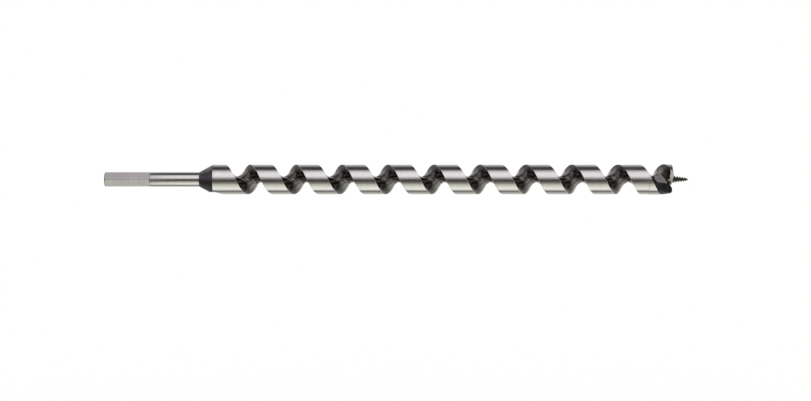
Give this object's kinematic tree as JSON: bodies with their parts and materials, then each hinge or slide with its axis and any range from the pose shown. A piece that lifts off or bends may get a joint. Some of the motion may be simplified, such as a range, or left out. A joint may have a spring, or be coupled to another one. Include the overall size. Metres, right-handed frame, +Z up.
{
  "type": "auger bit",
  "caption": "Wood-boring auger bit with a hexagonal drive shank, a round neck, a spiral fluted body and a cutter head with lip, scoring spur and feed screw.",
  "frame": {"origin": "centre of the hexagon's flat rear end, on the bit's axis", "axes": "+X along the axis towards the feed screw's point, +Z up in the picture and square to a flat of the hexagon"},
  "size_m": [0.46, 0.024, 0.024],
  "materials": {
    "ground_steel": "ground bright",
    "spiral_steel": "ground land over a black flute",
    "black_oxide": "black oxide, oiled"
  },
  "bodies": {
    "root": {"drive_hex": "ground_steel", "round_neck": "ground_steel", "shank_cone": "black_oxide", "spiral_body": "spiral_steel", "cutter_head": "spiral_steel", "scoring_spur": "black_oxide", "feed_screw": "black_oxide"}
  },
  "joints": []
}
